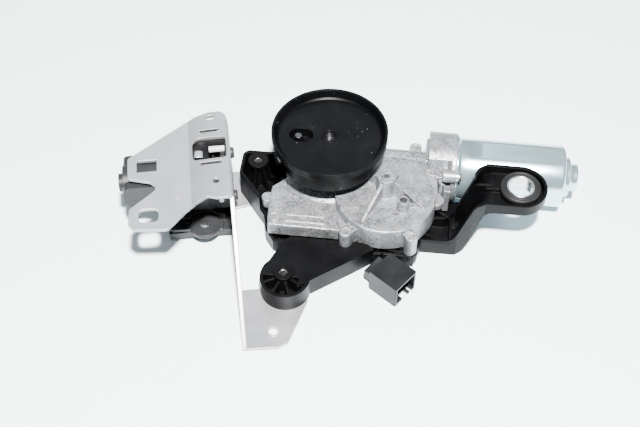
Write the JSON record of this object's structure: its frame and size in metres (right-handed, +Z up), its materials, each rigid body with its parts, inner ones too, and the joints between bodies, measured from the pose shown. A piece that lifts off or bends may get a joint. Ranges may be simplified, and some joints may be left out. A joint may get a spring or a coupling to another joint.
{
  "type": "rear wiper motor",
  "caption": "Rear wiper gear motor with a driven cup, a moulded carrier with a raised arm, and a pressed steel bracket that holds the tailgate latch.",
  "frame": {"origin": "mouth of the drive cup centre bore, on the output shaft axis", "axes": "+Z up along the output shaft; +X along the motor towards its closed end; +Y to the motor side"},
  "size_m": [0.3249, 0.1837, 0.069],
  "materials": {
    "zinc_can": "zinc plated, satin",
    "cast_aluminium": "as cast, rough",
    "black_plastic": "glass-filled, semi-matte",
    "cup_plastic": "moulded, semi-gloss",
    "dark_plastic": "moulded, matte",
    "bracket_steel": "pressed sheet, grey coating",
    "bright_steel": "turned, bright",
    "screw_steel": "zinc plated",
    "white_gear": "moulded, satin",
    "bronze_bush": "sintered",
    "copper_wire": "enamelled",
    "core_steel": "stacked sheet",
    "ferrite": "ground",
    "carbon": "pressed carbon",
    "grommet_rubber": "matte",
    "seal_rubber": "matte",
    "board_laminate": "laminate",
    "buffer_rubber": "soft",
    "spring_steel": "drawn wire"
  },
  "bodies": {
    "frame": {"motor_can": "zinc_can", "motor_magnets": "ferrite", "rear_bearing": "bronze_bush", "centre_bearing": "bronze_bush", "front_bearing": "bronze_bush", "thrust_pad": "dark_plastic", "brush_plate": "dark_plastic", "brushes": "carbon", "brush_springs": "spring_steel", "can_screws": "screw_steel", "wheel_axle": "bright_steel", "output_bush": "bronze_bush", "shaft_seal": "seal_rubber", "gear_housing": "cast_aluminium", "gear_cover": "dark_plastic", "housing_screws": "screw_steel", "circuit_board": "board_laminate", "park_contacts": "bronze_bush", "carrier": "black_plastic", "boss_sleeves": "screw_steel", "arm_grommet": "grommet_rubber", "arm_sleeve": "bright_steel", "connector_housing": "black_plastic", "connector_pins": "bright_steel", "latch_bracket": "bracket_steel", "latch_case": "dark_plastic", "latch_cover": "dark_plastic", "fork_pin": "bright_steel", "fork_spring": "spring_steel", "pawl_pin": "bright_steel", "pawl_spring": "spring_steel", "lever_pin": "bright_steel", "latch_motor": "bright_steel", "cam_axle": "bright_steel", "micro_switch": "dark_plastic", "striker_buffer": "buffer_rubber", "latch_screws": "screw_steel"},
    "armature": {"armature_core": "core_steel", "armature_windings": "copper_wire", "commutator": "copper_wire", "armature_shaft": "bright_steel"},
    "wheel": {"worm_wheel": "white_gear", "crank_pin": "bright_steel"},
    "output": {"output_shaft": "bright_steel", "drive_cup": "cup_plastic", "cup_hub": "bright_steel", "drive_insert": "bright_steel", "shaft_clip": "spring_steel"},
    "rocker": {"rocker_link": "bright_steel", "link_pin": "bright_steel"},
    "sector": {"toothed_link": "bright_steel"},
    "fork": {"catch_fork": "bright_steel"},
    "pawl": {"latch_pawl": "bright_steel"},
    "lever": {"release_lever": "dark_plastic"},
    "cam_worm": {"latch_worm": "bright_steel"},
    "cam_wheel": {"cam_gear": "white_gear"}
  },
  "joints": [
    {"name": "armature_spin", "type": "hinge", "parent": "frame", "child": "armature", "pos_m": [0.1, 0.014, -0.0385], "axis": [1, 0, 0], "continuous": true},
    {"name": "wheel_spin", "type": "hinge", "parent": "frame", "child": "wheel", "pos_m": [0.0425, -0.0225, -0.0385], "axis": [0, 0, 1], "continuous": true},
    {"name": "output_swing", "type": "hinge", "parent": "frame", "child": "output", "pos_m": [0, 0, -0.023], "axis": [0, 0, 1], "range_deg": [0, 110.8]},
    {"name": "rocker_swing", "type": "hinge", "parent": "frame", "child": "rocker", "pos_m": [0, 0, -0.042], "axis": [0, 0, 1], "range_deg": [0, 49.6]},
    {"name": "sector_swing", "type": "hinge", "parent": "rocker", "child": "sector", "pos_m": [-0.01838, -0.01543, -0.0443], "axis": [0, 0, 1], "range_deg": [-40.9, 0]},
    {"name": "fork_swing", "type": "hinge", "parent": "frame", "child": "fork", "pos_m": [-0.09188, -0.01986, -0.022], "axis": [-0.2164, 0.9763, 0], "range_deg": [0, 55], "stiffness_Nm_per_rad": 0.02},
    {"name": "pawl_swing", "type": "hinge", "parent": "frame", "child": "pawl", "pos_m": [-0.07802, -0.01678, -0.038], "axis": [-0.2164, 0.9763, 0], "range_deg": [0, 15], "stiffness_Nm_per_rad": 0.01},
    {"name": "release_lever_swing", "type": "hinge", "parent": "frame", "child": "lever", "pos_m": [-0.08441, -0.04893, -0.052], "axis": [0, 0, 1], "range_deg": [0, 12], "stiffness_Nm_per_rad": 0.01},
    {"name": "cam_spin", "type": "hinge", "parent": "frame", "child": "cam_wheel", "pos_m": [-0.10024, -0.03298, -0.032], "axis": [-0.2164, 0.9763, 0], "continuous": true},
    {"name": "latch_worm_spin", "type": "hinge", "parent": "frame", "child": "cam_worm", "pos_m": [-0.10024, -0.03298, -0.019], "axis": [0.9763, 0.2164, 0], "continuous": true}
  ],
  "couplings": [
    {"joint": "wheel_spin", "follows": "armature_spin", "ratio": 0.016667},
    {"joint": "rocker_swing", "follows": "output_swing", "ratio": 0.447},
    {"joint": "sector_swing", "follows": "output_swing", "ratio": -0.3687},
    {"joint": "latch_worm_spin", "follows": "cam_spin", "ratio": -25}
  ]
}
